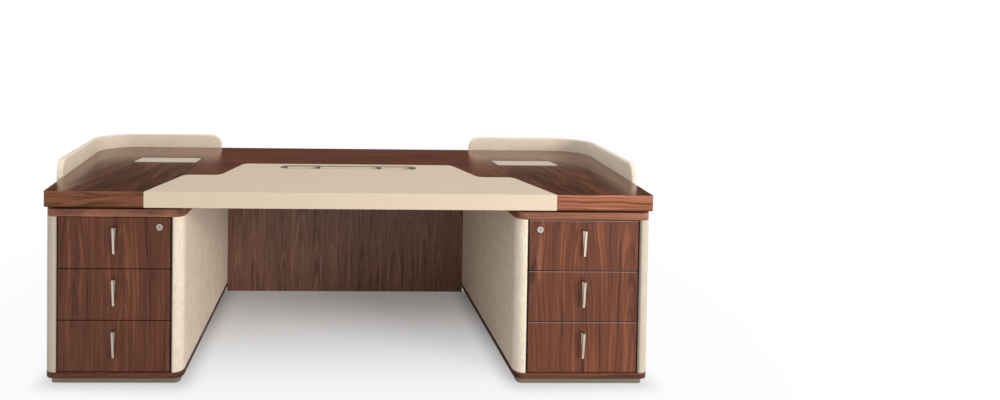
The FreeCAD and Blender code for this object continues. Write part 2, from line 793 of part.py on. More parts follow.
def build_locks():
    flange = rod("lock_flange", "flange_radius", "flange_thickness",
                 ("lock_x", "face_y - flange_thickness", "lock_z"), ALONG_Y)
    tube = rod("lock_tube", "barrel_radius", "front_thickness + barrel_tail",
               ("lock_x", "face_y", "lock_z"), ALONG_Y)
    bore = rod("lock_bore", "plug_radius + running_gap", "flange_thickness + front_thickness + barrel_tail",
               ("lock_x", "face_y - flange_thickness", "lock_z"), ALONG_Y)
    keep_pair("lock_barrel", cut("barrel", fuse("barrel_blank", [flange, tube]), [bore]))

    nose = "face_y - flange_thickness + plug_sink"
    core = rod("plug_core", "plug_radius", f"cam_y + cam_thickness - ({nose})",
               ("lock_x", nose, "lock_z"), ALONG_Y)
    cam = block("plug_cam", ("lock_x", "cam_y", "lock_z - cam_width / 2"),
                ("cam_length", "cam_thickness", "cam_width"))
    keyway = block("plug_keyway", ("lock_x - keyway_width / 2", nose, "lock_z - keyway_height / 2"),
                   ("keyway_width", "keyway_depth", "keyway_height"))
    keep_pair("lock_plug", cut("plug", fuse("plug_blank", [core, cam]), [keyway]))

    left = "lock_x - keeper_width / 2"
    tab = block("keeper_tab", (left, "keeper_y", "cap_bottom - keeper_drop"),
                ("keeper_width", "keeper_thickness", "keeper_drop"))
    foot = block("keeper_foot", (left, "keeper_y", "cap_bottom - keeper_thickness"),
                 ("keeper_width", "keeper_flange", "keeper_thickness"))
    keeper = fuse("keeper_right", [tab, foot])
    keep("lock_keepers", group("lock_keepers", [keeper, mirror("keeper_left", keeper)]))


build_top()
build_pad()
build_tray()
build_lids()
build_screens()
build_pedestals()
build_modesty()
build_channels()
build_drawers()
build_locks()
doc.recompute()

for item in doc.Objects:
    if "Invalid" in item.State or "Error" in item.State:
        raise RuntimeError(f"{item.Label} did not build")
for node in nodes:
    if node.Shape.isNull() or not node.Shape.isValid():
        raise RuntimeError(f"{node.Label} has no sound shape")
    node.Shape.exportStep(f"parts/{node.Label}.step")
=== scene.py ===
import math

import bmesh
import bpy
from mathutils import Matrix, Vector


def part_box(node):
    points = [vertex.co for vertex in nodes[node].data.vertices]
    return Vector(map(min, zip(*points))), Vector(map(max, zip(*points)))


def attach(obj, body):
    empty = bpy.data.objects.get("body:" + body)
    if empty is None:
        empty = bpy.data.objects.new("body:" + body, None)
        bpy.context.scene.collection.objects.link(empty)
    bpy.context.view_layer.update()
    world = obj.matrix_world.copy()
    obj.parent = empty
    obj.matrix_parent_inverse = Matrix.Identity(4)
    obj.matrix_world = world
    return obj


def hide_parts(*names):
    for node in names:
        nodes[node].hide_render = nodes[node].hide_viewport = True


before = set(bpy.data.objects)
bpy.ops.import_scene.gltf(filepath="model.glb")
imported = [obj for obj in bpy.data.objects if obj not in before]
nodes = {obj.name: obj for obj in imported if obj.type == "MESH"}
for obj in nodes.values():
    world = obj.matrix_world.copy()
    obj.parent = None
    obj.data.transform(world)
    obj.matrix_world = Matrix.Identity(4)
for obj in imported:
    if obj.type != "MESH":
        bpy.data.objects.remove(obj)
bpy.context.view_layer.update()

# Executive desk in rosewood veneer and cream leather, in metres.
# X runs along the front, Y from the drawer side to the visitor side, Z up from the floor.

SIDES = ("left", "right")
LEVELS = ("bottom", "middle", "top")


def both(stem):
    return [f"{stem}_{side}" for side in SIDES]


def every_drawer(stem):
    return [f"{stem}_{level}_{side}" for level in LEVELS for side in SIDES]


def hand_of(side):
    return -1 if side == "left" else 1


# Places that several pieces share

FRONT_Y, TOP_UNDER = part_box("desktop")[0][1:]
TOP_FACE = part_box("desktop")[1][2]
WING_JOINT = 0.743
DRAWER_FACE_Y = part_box("drawer_front_top_right")[0][1]
DRAWER_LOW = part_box("drawer_front_bottom_right")[0][2]
DRAWER_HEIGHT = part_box("drawer_front_bottom_right")[1][2] - DRAWER_LOW
DRAWER_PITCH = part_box("drawer_front_middle_right")[0][2] - DRAWER_LOW
DRAWER_INNER_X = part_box("drawer_front_bottom_right")[0][0]

# Shader tools


def shader(tree, kind, inputs=None, **settings):
    """A shader node with its settings; each input is a plain value or another node's socket."""
    made = tree.nodes.new("ShaderNode" + kind)
    for name, setting in settings.items():
        setattr(made, name, setting)
    feed(tree, made, inputs or {})
    return made


def feed(tree, made, inputs):
    for name, given in inputs.items():
        if isinstance(given, bpy.types.NodeSocket):
            tree.links.new(given, made.inputs[name])
        else:
            made.inputs[name].default_value = given


def maths(tree, operation, first, second=0.0):
    return shader(tree, "Math", {0: first, 1: second}, operation=operation).outputs[0]


def vectors(tree, operation, *given):
    return shader(tree, "VectorMath", dict(enumerate(given)), operation=operation)


def scaled(tree, place, factors):
    return vectors(tree, "MULTIPLY", place, factors).outputs[0]


def moved(tree, place, step):
    return vectors(tree, "ADD", place, step).outputs[0]


def eased(tree, given, low, high, start=0.0, end=1.0):
    """A smooth step from start to end while the given value goes from low to high.

    Named bands in this file hold these four numbers in this order, or the first two of them.
    """
    inputs = {"Value": given, "From Min": low, "From Max": high, "To Min": start, "To Max": end}
    return shader(tree, "MapRange", inputs, interpolation_type="SMOOTHSTEP").outputs["Result"]


def blended(tree, share, first, second, mode="MIX"):
    made = shader(tree, "Mix", {0: share, 6: first, 7: second}, data_type="RGBA", blend_type=mode)
    return made.outputs[2]


def noise(tree, place, scale, detail=2.0, rough=0.5):
    inputs = {"Vector": place, "Scale": scale, "Detail": detail, "Roughness": rough}
    return shader(tree, "TexNoise", inputs).outputs["Fac"]


def grain(tree, place, scales, detail, rough=0.5):
    """Noise drawn out by its scales across, across and along the grain."""
    return noise(tree, scaled(tree, place, scales), 1.0, detail, rough)


def wandering(tree, place, scales, reach):
    """A sideways shift that changes slowly over the surface."""
    inputs = {"Vector": scaled(tree, place, scales), "Scale": 1.0, "Detail": 2.0}
    drift = shader(tree, "TexNoise", inputs).outputs["Color"]
    return scaled(tree, moved(tree, drift, (-0.5, -0.5, -0.5)), reach)


def rest_spot(tree):
    """X, Y and Z of a place on a piece at rest, in the desk's frame."""
    place = shader(tree, "TexCoord").outputs["Object"]
    return shader(tree, "SeparateXYZ", {0: place}).outputs


def new_group(name, inputs, outputs):
    """A shader group; inputs are (name, kind, default) and outputs are (name, kind)."""
    tree = bpy.data.node_groups.new(name, "ShaderNodeTree")
    for label, kind, default in inputs:
        socket = tree.interface.new_socket(label, in_out="INPUT", socket_type="NodeSocket" + kind)
        if default is not None:
            socket.default_value = default
    for label, kind in outputs:
        tree.interface.new_socket(label, in_out="OUTPUT", socket_type="NodeSocket" + kind)
    given = tree.nodes.new("NodeGroupInput").outputs
    out = tree.nodes.new("NodeGroupOutput").inputs
    return tree, given, out


def use_group(tree, group, inputs):
    made = tree.nodes.new("ShaderNodeGroup")
    made.node_tree = group
    feed(tree, made, inputs)
    return made.outputs


SURFACE_OUT = [("Color", "Color"), ("Roughness", "Float"), ("Height", "Float")]

SWAY_SCALES, SWAY_REACH = (4.0, 4.0, 1.6), (0.075, 0.03, 0.0)
RIPPLE_SCALES, RIPPLE_REACH = (30.0, 30.0, 7.0), (0.006, 0.004, 0.0)
HEART_TAPER, HEART_OFFSET = 0.085, 0.012
RINGS_A_METRE = 85.0
LEAF_OFFSET = 3.7
BAND_SCALES = (24.0, 24.0, 1.1)
VEIN_SCALES = (50.0, 50.0, 0.9)
STREAK_SCALES = (85.0, 85.0, 1.7)
LINE_SCALES = (330.0, 330.0, 4.0)
PORE_SCALES = (1500.0, 1500.0, 28.0)
BAND_AND_STREAK_SHARE, RING_SHARE, LINE_SHARE = 0.66, 0.26, 0.08
DARK_TO_BODY, BODY_TO_WARM = (0.37, 0.50), (0.50, 0.62)
VEIN_STAIN = (0.62, 0.72, 0.0, 0.45)
PORE_STAIN = (0.56, 0.70, 0.0, 0.30)
PORE_PIT = (0.52, 0.66)


def make_veneer_group():
    """Rosewood leaves side by side: X across the grain, Z along it."""
    tree, given, out = new_group("veneer_figure", [
        ("Place", "Vector", None), ("Dark", "Color", (0.05, 0.02, 0.015, 1)),
        ("Body", "Color", (0.17, 0.066, 0.038, 1)), ("Warm", "Color", (0.36, 0.14, 0.07, 1)),
        ("Leaf Width", "Float", 0.15), ("Gloss", "Float", 0.3),
        ("Streaks", "Float", 0.20)], SURFACE_OUT)
    place = given["Place"]
    bent = moved(tree, place, wandering(tree, place, SWAY_SCALES, SWAY_REACH))
    bent = moved(tree, bent, wandering(tree, place, RIPPLE_SCALES, RIPPLE_REACH))
    parts = shader(tree, "SeparateXYZ", {0: bent}).outputs
    across, along = parts["X"], parts["Z"]
    # Year rings around the heart of each leaf
    leaf = maths(tree, "FLOOR", maths(tree, "DIVIDE", across, given["Leaf Width"]))
    middle = maths(tree, "MULTIPLY", maths(tree, "ADD", leaf, 0.5), given["Leaf Width"])
    inside = maths(tree, "ABSOLUTE", maths(tree, "SUBTRACT", across, middle))
    heart = maths(tree, "ADD", maths(tree, "MULTIPLY", along, HEART_TAPER), HEART_OFFSET)
    heart = maths(tree, "ABSOLUTE", heart)
    ring = maths(tree, "SQRT", maths(tree, "ADD", maths(tree, "POWER", inside, 2.0),
                                     maths(tree, "POWER", heart, 2.0)))
    year = maths(tree, "ADD", maths(tree, "MULTIPLY", ring, RINGS_A_METRE),
                 maths(tree, "MULTIPLY", leaf, LEAF_OFFSET))
    rings = shader(tree, "TexNoise", {"W": year, "Scale": 1.0, "Detail": 3.0, "Roughness": 0.6},
                   noise_dimensions="1D").outputs["Fac"]
    # Bands, streaks and fine lines along the grain
    bands = grain(tree, bent, BAND_SCALES, detail=3.0, rough=0.55)
    streaks = grain(tree, bent, STREAK_SCALES, detail=3.0, rough=0.6)
    lines = grain(tree, bent, LINE_SCALES, detail=2.0)
    pores = grain(tree, bent, PORE_SCALES, detail=1.0)
    broad = maths(tree, "SUBTRACT", BAND_AND_STREAK_SHARE, given["Streaks"])
    tone = maths(tree, "ADD", maths(tree, "MULTIPLY", bands, broad),
                 maths(tree, "MULTIPLY", rings, RING_SHARE))
    tone = maths(tree, "ADD", tone, maths(tree, "MULTIPLY", streaks, given["Streaks"]))
    tone = maths(tree, "ADD", tone, maths(tree, "MULTIPLY", lines, LINE_SHARE))
    color = blended(tree, eased(tree, tone, *DARK_TO_BODY), given["Dark"], given["Body"])
    color = blended(tree, eased(tree, tone, *BODY_TO_WARM), color, given["Warm"])
    # Dark veins and pores
    veins = grain(tree, bent, VEIN_SCALES, detail=4.0, rough=0.65)
    color = blended(tree, eased(tree, veins, *VEIN_STAIN), color, given["Dark"])
    color = blended(tree, eased(tree, pores, *PORE_STAIN), color, given["Dark"])
    tree.links.new(color, out["Color"])
    dull = maths(tree, "ADD", given["Gloss"], maths(tree, "MULTIPLY", pores, 0.10))
    tree.links.new(dull, out["Roughness"])
    height = maths(tree, "SUBTRACT", maths(tree, "MULTIPLY", lines, 0.35),
                   eased(tree, pores, *PORE_PIT))
    tree.links.new(height, out["Height"])
    return tree


PEBBLES_A_METRE = 620.0
CREASES_A_METRE = 210.0
FLECKS_A_METRE = 95.0
CLOUDS_A_METRE = 17.0
HIDE_STREAK_SCALES = (170.0, 170.0, 42.0)
CLOUD_BAND, STROKE_BAND = (0.36, 0.68), (0.42, 0.70)
FLECK_SHADE = (0.45, 0.75, 0.0, 0.18)
PEBBLE_SHADE = (0.25, 0.6, 0.0, 0.10)
CREASE_DULLNESS = (0.3, 0.7, 0.46, 0.62)


def make_leather_group():
    """Pebbled leather with broad tonal clouds and brushed streaks along Z."""
    tree, given, out = new_group("leather_skin", [
        ("Place", "Vector", None), ("Cream", "Color", (0.78, 0.66, 0.51, 1)),
        ("Shade", "Color", (0.62, 0.50, 0.37, 1)), ("Clouds", "Float", 0.5),
        ("Streaks", "Float", 0.3)], SURFACE_OUT)
    place = given["Place"]
    pebbles = shader(tree, "TexVoronoi", {"Vector": place, "Scale": PEBBLES_A_METRE},
                     feature="SMOOTH_F1").outputs["Distance"]
    creases = noise(tree, place, CREASES_A_METRE, detail=4.0, rough=0.6)
    clouds = noise(tree, place, CLOUDS_A_METRE, detail=5.0, rough=0.62)
    flecks = noise(tree, place, FLECKS_A_METRE, detail=3.0, rough=0.6)
    strokes = grain(tree, place, HIDE_STREAK_SCALES, detail=4.0, rough=0.65)
    share = maths(tree, "MULTIPLY", eased(tree, clouds, *CLOUD_BAND), given["Clouds"])
    stroke_share = maths(tree, "MULTIPLY", eased(tree, strokes, *STROKE_BAND), given["Streaks"])
    share = maths(tree, "ADD", share, stroke_share)
    share = maths(tree, "ADD", share, eased(tree, flecks, *FLECK_SHADE))
    color = blended(tree, maths(tree, "MINIMUM", share, 1.0), given["Cream"], given["Shade"])
    color = blended(tree, eased(tree, pebbles, *PEBBLE_SHADE), color, given["Shade"])
    tree.links.new(color, out["Color"])
    tree.links.new(eased(tree, creases, *CREASE_DULLNESS), out["Roughness"])
    height = maths(tree, "ADD", maths(tree, "MULTIPLY", pebbles, -0.6),
                   maths(tree, "MULTIPLY", creases, 0.5))
    tree.links.new(height, out["Height"])
    return tree


BRUSH_SCALES = (2600.0, 2600.0, 26.0)
METAL_CLOUDS_A_METRE = 34.0
BRUSH_BAND = (0.35, 0.70)
METAL_CLOUD_SHADE = (0.40, 0.75, 0.0, 0.30)


def make_brushed_group():
    """Satin metal brushed along Z."""
    tree, given, out = new_group("brushed_metal", [
        ("Place", "Vector", None), ("Bright", "Color", (0.6, 0.52, 0.4, 1)),
        ("Deep", "Color", (0.45, 0.38, 0.28, 1)), ("Gloss", "Float", 0.3)], SURFACE_OUT)
    place = given["Place"]
    brush = grain(tree, place, BRUSH_SCALES, detail=2.0, rough=0.6)
    cloud = noise(tree, place, METAL_CLOUDS_A_METRE, detail=3.0)
    color = blended(tree, eased(tree, brush, *BRUSH_BAND), given["Bright"], given["Deep"])
    color = blended(tree, eased(tree, cloud, *METAL_CLOUD_SHADE), color, given["Deep"])
    tree.links.new(color, out["Color"])
    dull = maths(tree, "ADD", given["Gloss"], maths(tree, "MULTIPLY", brush, 0.14))
    tree.links.new(dull, out["Roughness"])
    tree.links.new(brush, out["Height"])
    return tree


SPECKLES_A_METRE = 900.0
MATT_CLOUDS_A_METRE = 24.0
MATT_BAND = (0.35, 0.70)
SPECKLE_SHADE = (0.45, 0.75, 0.0, 0.4)


def make_matt_group():
    """Fine speckle for plastic and lining."""
    tree, given, out = new_group("matt_speckle", [
        ("Place", "Vector", None), ("Light", "Color", (0.05, 0.05, 0.05, 1)),
        ("Deep", "Color", (0.03, 0.03, 0.03, 1)), ("Gloss", "Float", 0.5)], SURFACE_OUT)
    fine = noise(tree, given["Place"], SPECKLES_A_METRE)
    broad = noise(tree, given["Place"], MATT_CLOUDS_A_METRE, detail=3.0)
    color = blended(tree, eased(tree, broad, *MATT_BAND), given["Light"], given["Deep"])
    color = blended(tree, eased(tree, fine, *SPECKLE_SHADE), color, given["Deep"])
    tree.links.new(color, out["Color"])
    dull = maths(tree, "ADD", given["Gloss"], maths(tree, "MULTIPLY", fine, 0.15))
    tree.links.new(dull, out["Roughness"])
    tree.links.new(fine, out["Height"])
    return tree


veneer = make_veneer_group()
leather = make_leather_group()
brushed = make_brushed_group()
matt = make_matt_group()

# Finishes

UPRIGHT_GRAIN = (0, 0, 0)
CROSS_GRAIN = (0, 90, 0)
DEPTH_GRAIN = (-90, 0, 0)
FLAT_CROSS_GRAIN = (-90, -90, 0)


def new_finish(name):
    made = bpy.data.materials.new(name)
    made.use_nodes = True
    tree = made.node_tree
    tree.nodes.clear()
    face = tree.nodes.new("ShaderNodeBsdfPrincipled")
    end = tree.nodes.new("ShaderNodeOutputMaterial")
    tree.links.new(face.outputs["BSDF"], end.inputs["Surface"])
    return made, tree, face


def at_rest_place(tree, turn=UPRIGHT_GRAIN, shift=(0, 0, 0), fineness=1.0):
    """Place on the piece in the desk's frame, turned so that the grain runs along Z."""
    angles = tuple(math.radians(angle) for angle in turn)
    mapping = shader(tree, "Mapping", {
        "Vector": shader(tree, "TexCoord").outputs["Object"], "Location": shift,
        "Rotation": angles, "Scale": (fineness, fineness, fineness)})
    return mapping.outputs["Vector"]


def raise_surface(tree, face, height, depth, strength):
    bump = shader(tree, "Bump", {"Height": height, "Distance": depth, "Strength": strength})
    tree.links.new(bump.outputs["Normal"], face.inputs["Normal"])


def lay_surface(tree, face, outputs, depth, strength):
    tree.links.new(outputs["Color"], face.inputs["Base Color"])
    tree.links.new(outputs["Roughness"], face.inputs["Roughness"])
    raise_surface(tree, face, outputs["Height"], depth, strength)


def laid_color(made):
    """The shader of a finish, and the colour that its surface was laid with."""
    face = next(n for n in made.node_tree.nodes if n.bl_idname == "ShaderNodeBsdfPrincipled")
    return face, face.inputs["Base Color"].links[0].from_socket


def use_veneer(tree, tones, turn, shift, fineness, leaf, gloss, streaks):
    dark, body, warm = tones
    return use_group(tree, veneer, {
        "Place": at_rest_place(tree, turn, shift, fineness), "Dark": (*dark, 1),
        "Body": (*body, 1), "Warm": (*warm, 1), "Leaf Width": leaf, "Gloss": gloss,
        "Streaks": streaks})


def wood_finish(name, tones, turn=UPRIGHT_GRAIN, shift=(0, 0, 0), leaf=0.15, gloss=0.3,
                level=0.25, fineness=1.0, streaks=0.20):
    made, tree, face = new_finish(name)
    figure = use_veneer(tree, tones, turn, shift, fineness, leaf, gloss, streaks)
    lay_surface(tree, face, figure, depth=0.0003, strength=0.25)
    face.inputs["Specular IOR Level"].default_value = level
    return made


# Tones of a veneer: its dark veins, its body and its warm bands

DRAWER_TONES = ((0.050, 0.016, 0.010), (0.122, 0.039, 0.020), (0.225, 0.075, 0.033))
EDGE_TONES = ((0.052, 0.019, 0.015), (0.245, 0.089, 0.060), (0.45, 0.172, 0.113))
CAP_TONES = ((0.085, 0.032, 0.019), (0.245, 0.096, 0.055), (0.37, 0.158, 0.088))
PLINTH_TONES = ((0.036, 0.012, 0.008), (0.085, 0.029, 0.018), (0.16, 0.057, 0.031))
TOP_TONES = ((0.030, 0.010, 0.005), (0.110, 0.035, 0.016), (0.28, 0.098, 0.044))
FIELD_TONES = ((0.064, 0.019, 0.012), (0.19, 0.056, 0.030), (0.32, 0.098, 0.050))
PANEL_TONES = ((0.090, 0.045, 0.031), (0.218, 0.107, 0.073), (0.350, 0.172, 0.110))
BIRCH_TONES = ((0.42, 0.31, 0.19), (0.55, 0.42, 0.27), (0.64, 0.51, 0.34))


def lighter(tones, share):
    """The three tones of a veneer, lighter or darker by one share."""
    return [tuple(share * part for part in tone) for tone in tones]


# Painted shade for the gaps around the drawer fronts
GAP_PAINTED_SHADE = (0.012, 0.006, 0.004, 1)
# Painted highlight: a pale line along the upper arris of each drawer front, where the edge would
# catch light
ARRIS_PAINTED_HIGHLIGHT = (0.50, 0.42, 0.37, 1)
ARRIS_HIGHLIGHT_WIDTH = 0.0040
ARRIS_HIGHLIGHT_FADE = 0.0015
SHADOW_GAP_FROM, SHADOW_GAP_TO = 0.005, 0.007
GAP_SHADE_FROM, GAP_SHADE_TO = 0.0006, 0.0016


def drawer_finish(side, start, light, arris):
    """Upright veneer; the edges, and a strip along the inner leather, are darkened as painted shade
    in the gaps.

    The upper arris of each front has a painted highlight, by the share given.
    """
    # light scales this side's tones as painted light
    made = wood_finish(f"drawer_veneer_{side}", lighter(DRAWER_TONES, light),
                       shift=(start, 0.0, -0.25), leaf=0.27, gloss=0.36, fineness=1.4, streaks=0.30)
    tree = made.node_tree
    face, color = laid_color(made)
    spot = rest_spot(tree)
    height = maths(tree, "MODULO", maths(tree, "SUBTRACT", spot["Z"], DRAWER_LOW), DRAWER_PITCH)
    arris_low = DRAWER_HEIGHT - ARRIS_HIGHLIGHT_WIDTH
    # Painted highlight along the top of each front
    pale = eased(tree, height, arris_low, arris_low + ARRIS_HIGHLIGHT_FADE, 0.0, arris)
    color = blended(tree, pale, color, ARRIS_PAINTED_HIGHLIGHT)
    # Painted shade: a dark strip on the face beside the inner leather, and dark edges behind the
    # face, stand for the shade in the gaps
    inward = eased(tree, maths(tree, "ABSOLUTE", spot["X"]), DRAWER_INNER_X + SHADOW_GAP_FROM,
                   DRAWER_INNER_X + SHADOW_GAP_TO, 1.0, 0.0)
    behind = eased(tree, spot["Y"], DRAWER_FACE_Y + GAP_SHADE_FROM, DRAWER_FACE_Y + GAP_SHADE_TO)
    gap_shade = maths(tree, "MAXIMUM", inward, behind)
    tree.links.new(blended(tree, gap_shade, color, GAP_PAINTED_SHADE), face.inputs["Base Color"])
    return made


TOP_GLOSS = 0.15
TOP_STREAKS = 0.46
EDGE_DEPTH = 0.0022
# Painted light, painted shade and a painted highlight on the top's front edge: along X, at its foot
# and at its upper arris
EDGE_PAINTED_LIGHT_ALONG = (-1.1, 1.1, 0.72, 1.12)
EDGE_FOOT_PAINTED_SHADE = (TOP_UNDER, TOP_UNDER + 0.014, 0.20, 1.0)
EDGE_ARRIS_PAINTED_HIGHLIGHT = (TOP_FACE - 0.005, TOP_FACE - 0.001, 1.0, 1.45)
LACQUER_TINT = (1.0, 0.46, 0.12, 1)


def top_finish():
    """Wings with the grain to the back, a middle field and front edge with the grain along X."""
    made, tree, face = new_finish("rosewood_top")
    same = {"gloss": TOP_GLOSS, "streaks": TOP_STREAKS}
    wing = use_veneer(tree, TOP_TONES, DEPTH_GRAIN, shift=(0.03, 0.0, 0.4), fineness=0.80,
                      leaf=0.14, **same)
    field = use_veneer(tree, FIELD_TONES, FLAT_CROSS_GRAIN, shift=(0.02, 0.0, 0.2), fineness=0.65,
                       leaf=0.16, **same)
    edge = use_veneer(tree, EDGE_TONES, CROSS_GRAIN, shift=(0.50, 0.0, 1.1), fineness=1.0,
                      leaf=0.21, **same)
    spot = rest_spot(tree)
    on_wing = maths(tree, "GREATER_THAN", maths(tree, "ABSOLUTE", spot["X"]), WING_JOINT)
    on_edge = maths(tree, "LESS_THAN", spot["Y"], FRONT_Y + EDGE_DEPTH)
    color = blended(tree, on_wing, field["Color"], wing["Color"])
    # Painted light on the front edge: paler to the right as if lit from there, a painted highlight
    # along its upper arris, and painted shade at its foot
    # depth is the edge colour's factor of painted light, painted shade and painted highlight
    depth = eased(tree, spot["X"], *EDGE_PAINTED_LIGHT_ALONG)
    depth = maths(tree, "MULTIPLY", depth, eased(tree, spot["Z"], *EDGE_FOOT_PAINTED_SHADE))
    depth = maths(tree, "MULTIPLY", depth, eased(tree, spot["Z"], *EDGE_ARRIS_PAINTED_HIGHLIGHT))
    color = blended(tree, on_edge, color, blended(tree, 1.0, edge["Color"], depth, "MULTIPLY"))
    tree.links.new(color, face.inputs["Base Color"])
    tree.links.new(wing["Roughness"], face.inputs["Roughness"])
    height = blended(tree, on_wing, field["Height"], wing["Height"])
    raise_surface(tree, face, height, depth=0.0002, strength=0.12)
    face.inputs["Specular IOR Level"].default_value = 0.9
    face.inputs["Specular Tint"].default_value = LACQUER_TINT
    return made


# Tones of a leather: its open cream and the shade in its clouds and streaks

# All four are one cream leather: the screen and inner leather are made lighter and the outer
# leather darker, as painted light and painted shade for how light falls on each
PAD_CREAM, PAD_SHADE = (0.735, 0.604, 0.458), (0.665, 0.537, 0.400)
INNER_CREAM, INNER_SHADE = (0.905, 0.785, 0.63), (0.73, 0.62, 0.48)
OUTER_CREAM_IN_PAINTED_SHADE, OUTER_DEEP_IN_PAINTED_SHADE = (0.57, 0.49, 0.39), (0.49, 0.415, 0.32)
SCREEN_CREAM, SCREEN_SHADE = (0.95, 0.835, 0.675), (0.83, 0.71, 0.56)
SEAM_CREAM_AND_HIGHLIGHT = (0.97, 0.87, 0.73, 1)
SEAM_TONE_AND_HIGHLIGHT_BAND = (0.004, 0.009, 0.65, 0.0)


def leather_finish(name, cream, shade, clouds, streaks, seam_y=None):
    """Leather; where seam_y is given, a sewn edge crosses it there, in a paler tone that is partly
    its own and partly a painted highlight.
    """
    made, tree, face = new_finish(name)
    skin = use_group(tree, leather, {
        "Place": at_rest_place(tree), "Cream": (*cream, 1), "Shade": (*shade, 1),
        "Clouds": clouds, "Streaks": streaks})
    lay_surface(tree, face, skin, depth=0.0004, strength=0.35)
    face.inputs["Specular IOR Level"].default_value = 0.35
    face.inputs["Sheen Weight"].default_value = 0.05
    if seam_y is not None:
        # Partly the seam's paler tone, partly a painted highlight where the sewn edge would catch
        # light
        away = maths(tree, "ABSOLUTE", maths(tree, "SUBTRACT", rest_spot(tree)["Y"], seam_y))
        sewn = eased(tree, away, *SEAM_TONE_AND_HIGHLIGHT_BAND)
        tree.links.new(blended(tree, sewn, skin["Color"], SEAM_CREAM_AND_HIGHLIGHT), face.inputs["Base Color"])
    return made


def metal_finish(name, bright, deep, gloss, metallic=1.0, turn=UPRIGHT_GRAIN):
    made, tree, face = new_finish(name)
    skin = use_group(tree, brushed, {
        "Place": at_rest_place(tree, turn), "Bright": (*bright, 1), "Deep": (*deep, 1),
        "Gloss": gloss})
    lay_surface(tree, face, skin, depth=0.0001, strength=0.15)
    face.inputs["Metallic"].default_value = metallic
    return made


def matt_finish(name, light, deep, gloss):
    made, tree, face = new_finish(name)
    skin = use_group(tree, matt, {
        "Place": at_rest_place(tree), "Light": (*light, 1), "Deep": (*deep, 1), "Gloss": gloss})
    lay_surface(tree, face, skin, depth=0.0001, strength=0.2)
    face.inputs["Specular IOR Level"].default_value = 0.3
    return made


def dress(finish, *names):
    for name in names:
        for place in nodes[name].material_slots:
            place.material = finish


# Tools for pieces made over their CAD solids

SAME_PLACE = 1e-4
PLACE_DIGITS = 6
UPRIGHT_RISE = 0.01
CLEAR_ANGLE = math.radians(25)


def rounded_outline(corners, steps=8):
    """A closed outline through (x, y, radius) corners, each corner turned into an arc."""
    points = []
    for at, (x, y, radius) in enumerate(corners):
        here = Vector((x, y))
        if radius == 0:
            points.append(here)
            continue
        back = (Vector(corners[at - 1][:2]) - here).normalized()
        ahead = (Vector(corners[(at + 1) % len(corners)][:2]) - here).normalized()
        half = back.angle(ahead) / 2
        reach = radius / math.tan(half)
        centre = here + (back + ahead).normalized() * (radius / math.sin(half))
        start = here + back * reach - centre
        turn = (here + ahead * reach - centre).angle_signed(start)
        for step in range(steps + 1):
            cosine, sine = math.cos(turn * step / steps), math.sin(turn * step / steps)
            points.append(centre + Vector((start.x * cosine - start.y * sine,
                                           start.x * sine + start.y * cosine)))
    return points


def rounded_spot(point):
    return tuple(round(part, PLACE_DIGITS) for part in point)


def edge_softness(mesh):
    layers = mesh.edges.layers.float
    return layers.get("bevel_weight_edge") or layers.new("bevel_weight_edge")


def add_slab(mesh, outlines, low, high, soft_low=True):
    """A slab on outlines that share points where they meet; its outer edges will be softened."""
    soft = edge_softness(mesh)
    made = {}

    def corner(point, level):
        key = (*rounded_spot(point), level)
        if key not in made:
            made[key] = mesh.verts.new(key)
        return made[key]
    rims = set()
    for outline in outlines:
        mesh.faces.new([corner(point, high) for point in outline])
        mesh.faces.new([corner(point, low) for point in reversed(outline)])
        for start, end in zip(outline, outline[1:] + outline[:1]):
            rims.add((rounded_spot(start), rounded_spot(end)))
    walls = [rim for rim in rims if (rim[1], rim[0]) not in rims]
    for start, end in sorted(walls):
        wall = [corner(start, low), corner(end, low), corner(end, high), corner(start, high)]
        mesh.faces.new(wall)
        mesh.edges.get((corner(start, high), corner(end, high)))[soft] = 1.0
        if soft_low:
            mesh.edges.get((corner(start, low), corner(end, low)))[soft] = 1.0


def soften_upright_edges(mesh, weight):
    """Marks the upright edges where two walls meet at a clear angle.

    The weight says how much of the full softness they get.
    """
    soft = edge_softness(mesh)
    for edge in mesh.edges:
        first, second = edge.verts
        upright = abs(first.co.z - second.co.z) > UPRIGHT_RISE
        if upright and len(edge.link_faces) == 2 and edge.calc_face_angle(0.0) > CLEAR_ANGLE:
            edge[soft] = weight


def finish_cover(name, mesh, finishes, softness, stands_for, flat=False, body="desk"):
    """Makes a mesh into a piece that rides on a body and stands for a CAD node."""
    mesh.normal_update()
    data = bpy.data.meshes.new(name)
    mesh.to_mesh(data)
    mesh.free()
    if flat:
        data.shade_flat()
    else:
        data.shade_smooth()
    for finish in finishes:
        data.materials.append(finish)
    cover = bpy.data.objects.new(name, data)
    bpy.context.collection.objects.link(cover)
    if softness:
        soft = cover.modifiers.new("soft_edges", "BEVEL")
        soft.limit_method = "WEIGHT"
        soft.width = softness
        soft.segments = 4
    if not flat:
        even = cover.modifiers.new("even_normals", "WEIGHTED_NORMAL")
        even.weight = 100
    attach(cover, body)
    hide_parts(stands_for)


# Writing pad

PAD_LOW, PAD_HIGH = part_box("writing_pad")
PAD_FRONT_Y, PAD_BACK_Y = PAD_LOW[1], PAD_HIGH[1]
PAD_UNDER, PAD_TOP = PAD_LOW[2], PAD_HIGH[2]
PAD_HALF = PAD_HIGH[0]
PAD_BOARD = PAD_TOP - 0.0335
PAD_LIP_Y = PAD_FRONT_Y + 0.0295
PAD_SHOULDER_Y = -0.250
PAD_SHOULDER_X = 0.741
PAD_NECK_X = 0.583
PAD_REAR_X = 0.522
PAD_CORNER = 0.0363
PAD_SOFT_EDGE = 0.0026
SEAM_FRONT_X = 0.487
SEAM_BACK_X = 0.430
SEAM_SLACK = 0.002
SEAM_SHORTEST = 0.5
SEAM_SOFTNESS = 0.5
TRAY_Y = -0.041
TRAY_HALF = (0.3326, 0.0426)
TRAY_CORNER = 0.036


